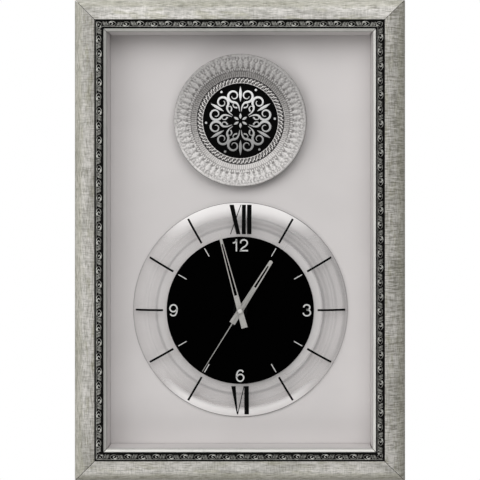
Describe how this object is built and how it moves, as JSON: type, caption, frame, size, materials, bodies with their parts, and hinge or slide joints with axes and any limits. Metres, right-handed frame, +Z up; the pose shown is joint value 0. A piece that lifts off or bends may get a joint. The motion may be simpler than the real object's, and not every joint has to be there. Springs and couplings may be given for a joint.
{
  "type": "shadow-box wall clock",
  "caption": "Wall clock in a deep silver shadow-box frame, with an embossed round plate above a glass-rimmed black dial and a battery quartz movement behind the board.",
  "frame": {"origin": "the sawtooth hanger's middle notch, in the plane of the frame's back", "axes": "+Z up the wall, +Y into the wall, +X to the right seen from the front"},
  "size_m": [0.33, 0.0596, 0.48],
  "materials": {
    "silver_moulding": "silver-grey foil with fine streaks along each rail, satin",
    "ornament": "black strip with silver-rubbed relief scrolls",
    "pale_board": "smooth pale grey paint, matte",
    "fitting_steel": "zinc-plated sheet and wire",
    "plate_silver": "embossed sheet, antique silver",
    "plate_black": "satin black with silver tracery",
    "foam_tape": "white foam tape",
    "clock_glass": "clear domed glass with black printed hour marks",
    "dial_black": "matte black with light figures",
    "washer_rubber": "matte",
    "nut_black": "black finish",
    "gear_plastic": "moulded, off-white",
    "rotor_magnet": "sintered magnet on a plastic pinion",
    "motor_steel": "punched sheet",
    "coil_copper": "enamelled copper wire",
    "battery_can": "plain metallic sleeve",
    "contact_brass": "spring sheet",
    "circuit_green": "resin board with a black chip",
    "case_black": "moulded, fine texture",
    "hand_silver": "matte brushed silver"
  },
  "bodies": {
    "shadow_box": {"frame_rail_bottom": "silver_moulding", "frame_rail_right": "silver_moulding", "frame_rail_top": "silver_moulding", "frame_rail_left": "silver_moulding", "ornament_strip_bottom": "ornament", "ornament_strip_right": "ornament", "ornament_strip_top": "ornament", "ornament_strip_left": "ornament", "box_liner_bottom": "pale_board", "box_liner_right": "pale_board", "box_liner_top": "pale_board", "box_liner_left": "pale_board", "back_board": "pale_board", "framers_point_bottom_1": "fitting_steel", "framers_point_bottom_2": "fitting_steel", "framers_point_right_1": "fitting_steel", "framers_point_right_2": "fitting_steel", "framers_point_top_1": "fitting_steel", "framers_point_top_2": "fitting_steel", "framers_point_left_1": "fitting_steel", "framers_point_left_2": "fitting_steel", "sawtooth_hanger": "fitting_steel", "hanger_nail_left": "fitting_steel", "hanger_nail_right": "fitting_steel", "embossed_plate": "plate_silver", "plate_centre_disc": "plate_black", "plate_adhesive_pad": "foam_tape", "dial_glass": "clock_glass", "dial_disc": "dial_black", "rubber_washer": "washer_rubber", "nut_washer": "nut_black", "mounting_nut": "nut_black", "coil_bobbin": "gear_plastic", "stator": "motor_steel", "coil_core": "motor_steel", "quartz_crystal": "motor_steel", "coil_winding": "coil_copper", "battery": "battery_can", "contact_positive": "contact_brass", "contact_negative": "contact_brass", "circuit_board": "circuit_green", "movement_case": "case_black", "movement_cover": "case_black"},
    "minute_work": {"minute_wheel": "gear_plastic", "minute_hand": "hand_silver"},
    "hour_work": {"hour_wheel": "gear_plastic", "hour_hand": "hand_silver"},
    "second_work": {"second_wheel": "gear_plastic", "second_hand": "hand_silver"},
    "third_work": {"third_wheel": "gear_plastic"},
    "intermediate_work": {"intermediate_wheel": "gear_plastic"},
    "rotor_work": {"rotor": "rotor_magnet"},
    "motion_work": {"motion_wheel": "gear_plastic"},
    "setting_work": {"setting_knob": "gear_plastic"}
  },
  "joints": [
    {"name": "minute_turn", "type": "hinge", "parent": "shadow_box", "child": "minute_work", "pos_m": [0, -0.02, -0.2971], "axis": [0, 1, 0], "continuous": true},
    {"name": "hour_turn", "type": "hinge", "parent": "shadow_box", "child": "hour_work", "pos_m": [0, -0.02, -0.2971], "axis": [0, 1, 0], "continuous": true},
    {"name": "second_turn", "type": "hinge", "parent": "shadow_box", "child": "second_work", "pos_m": [0, -0.02, -0.2971], "axis": [0, 1, 0], "continuous": true},
    {"name": "third_turn", "type": "hinge", "parent": "shadow_box", "child": "third_work", "pos_m": [0.01043, -0.02, -0.2943], "axis": [0, 1, 0], "continuous": true},
    {"name": "intermediate_turn", "type": "hinge", "parent": "shadow_box", "child": "intermediate_work", "pos_m": [-0.00188, -0.02, -0.28646], "axis": [0, 1, 0], "continuous": true},
    {"name": "rotor_turn", "type": "hinge", "parent": "shadow_box", "child": "rotor_work", "pos_m": [0.00523, -0.02, -0.28315], "axis": [0, 1, 0], "continuous": true},
    {"name": "motion_turn", "type": "hinge", "parent": "shadow_box", "child": "motion_work", "pos_m": [-0.0108, -0.02, -0.2971], "axis": [0, 1, 0], "continuous": true},
    {"name": "setting_turn", "type": "hinge", "parent": "shadow_box", "child": "setting_work", "pos_m": [-0.01449, -0.02, -0.28695], "axis": [0, 1, 0], "continuous": true}
  ],
  "couplings": [
    {"joint": "hour_turn", "follows": "minute_turn", "ratio": 0.083333},
    {"joint": "second_turn", "follows": "minute_turn", "ratio": 60},
    {"joint": "third_turn", "follows": "minute_turn", "ratio": -6},
    {"joint": "intermediate_turn", "follows": "minute_turn", "ratio": -300},
    {"joint": "rotor_turn", "follows": "minute_turn", "ratio": 1800},
    {"joint": "motion_turn", "follows": "minute_turn", "ratio": -0.33333},
    {"joint": "setting_turn", "follows": "minute_turn", "ratio": 1}
  ]
}
